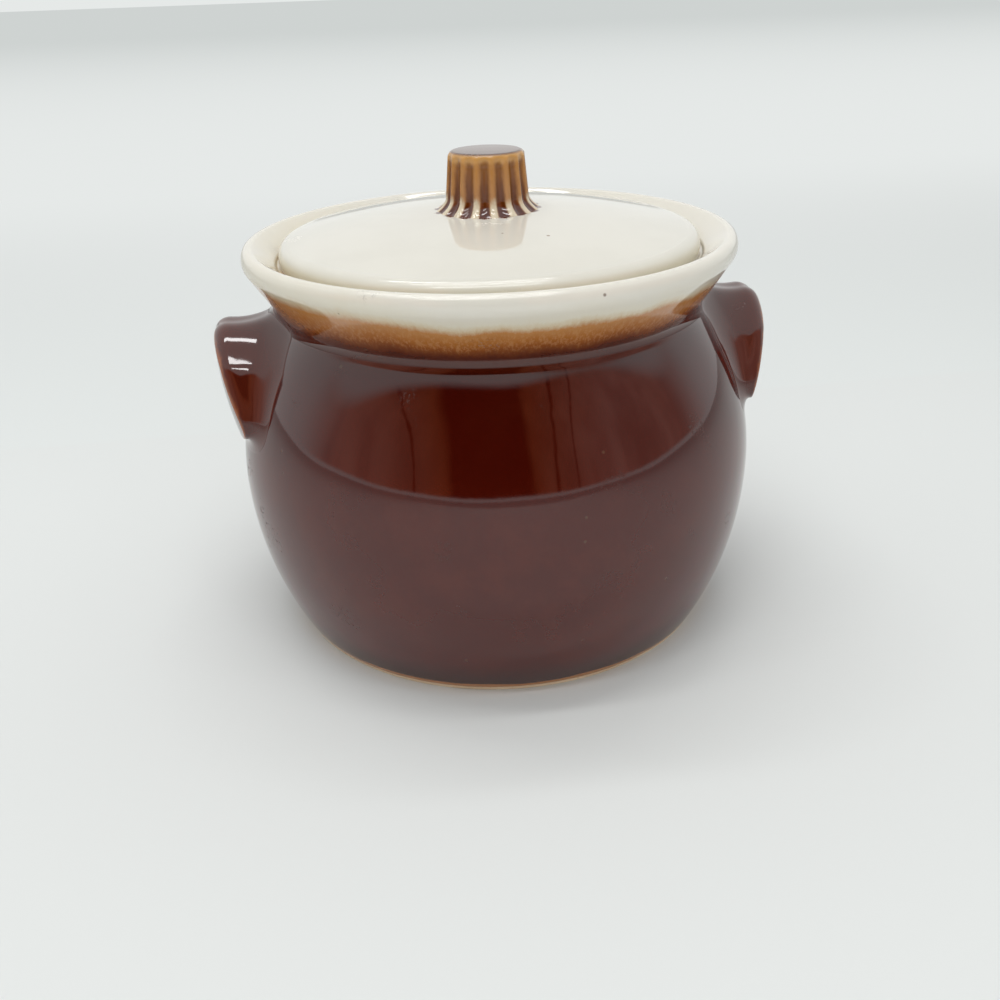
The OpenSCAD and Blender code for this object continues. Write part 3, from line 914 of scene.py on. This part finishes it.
knob_angle = np.linspace(0, 2 * math.pi, knob_around, endpoint=False)
flute = (1 - np.cos(flutes * knob_angle)) / 2
knob_radius = smooth_r[:, None] - depth_here[:, None] * flute**flute_sharpness
points = np.stack(
    [
        knob_radius * np.cos(knob_angle),
        knob_radius * np.sin(knob_angle),
        np.repeat((knob_z + height)[:, None], knob_around, 1),
    ],
    2,
).reshape(-1, 3)
rows = len(height)
ids = np.arange(rows * knob_around).reshape(rows, knob_around)
faces = grid_faces(ids[:-1], ids[1:])
faces += fan_faces(rows * knob_around, ids[0], flipped=True)
faces += fan_faces(rows * knob_around + 1, ids[-1])
tips = [(0, 0, knob_z - knob_sink), (0, 0, knob_z + knob_h)]
knob = add_piece("knob", np.concatenate([points, tips]), faces)

knob_glaze, tree, shader, _ = new_glaze("knob_glaze", 1.5, 7.0, 0.08)
spot = add_node(tree, "ShaderNodeTexCoord").outputs["Object"]
x, y, z = add_node(tree, "ShaderNodeSeparateXYZ", {0: spot}).outputs
ridge = add_flute_wave(tree, x, y, 0.5)
down = stretched(tree, spot, (1.0, 1.0, 0.35))
streak = add_math(tree, "SUBTRACT", add_noise(tree, down, 380.0, 4.0, 0.6), 0.5)
up_share = add_step(tree, z, knob_z + 4.0 * MM, knob_z + knob_h - 2.5 * MM)
groove_glaze = add_mix(tree, up_share, (0.12, 0.028, 0.002), (0.23, 0.075, 0.003))
ridge_glaze = add_mix(tree, up_share, (0.46, 0.21, 0.065), (0.44, 0.19, 0.036))
thin = add_math(
    tree, "MULTIPLY_ADD", streak, 0.9, add_math(tree, "MULTIPLY_ADD", up_share, 0.12, ridge)
)
amber = add_mix(tree, add_step(tree, thin, 0.22, 1.05), groove_glaze, ridge_glaze)
pale_z = add_math(tree, "MULTIPLY_ADD", streak, 6.0 * MM, z)
foot_share = add_math(
    tree,
    "MULTIPLY",
    add_step(tree, pale_z, knob_z + 6.0 * MM, knob_z + 2.8 * MM),
    add_step(tree, ridge, 0.5, 0.85),
)
footed = add_mix(tree, foot_share, amber, (0.68, 0.58, 0.42))
groove_foot = add_math(
    tree,
    "MULTIPLY",
    add_step(tree, z, knob_z + 4.5 * MM, knob_z + 1.0 * MM),
    add_step(tree, ridge, 0.75, 0.35),
)
grooved = add_mix(tree, groove_foot, footed, (0.075, 0.012, 0.004))
wavy_z = add_math(tree, "MULTIPLY_ADD", streak, 3.0 * MM, z)
banded = add_mix(
    tree,
    add_step(tree, wavy_z, knob_z + knob_h - 3.6 * MM, knob_z + knob_h - 1.8 * MM, 0.0, 0.85),
    grooved,
    (0.58, 0.31, 0.095),
)
top_share = add_step(tree, z, knob_z + knob_h - 0.9 * MM, knob_z + knob_h - 0.15 * MM)
topped = add_mix(tree, top_share, banded, (0.095, 0.042, 0.027))
tree.links.new(topped, shader.inputs["Base Color"])
knob.data.materials.append(knob_glaze)
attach(knob, "lid")
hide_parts("lid_knob")


# ---------------------------------------------------------------- colour view
# Colours come out as they are written.

view = bpy.context.scene.view_settings
view.view_transform = "Standard"
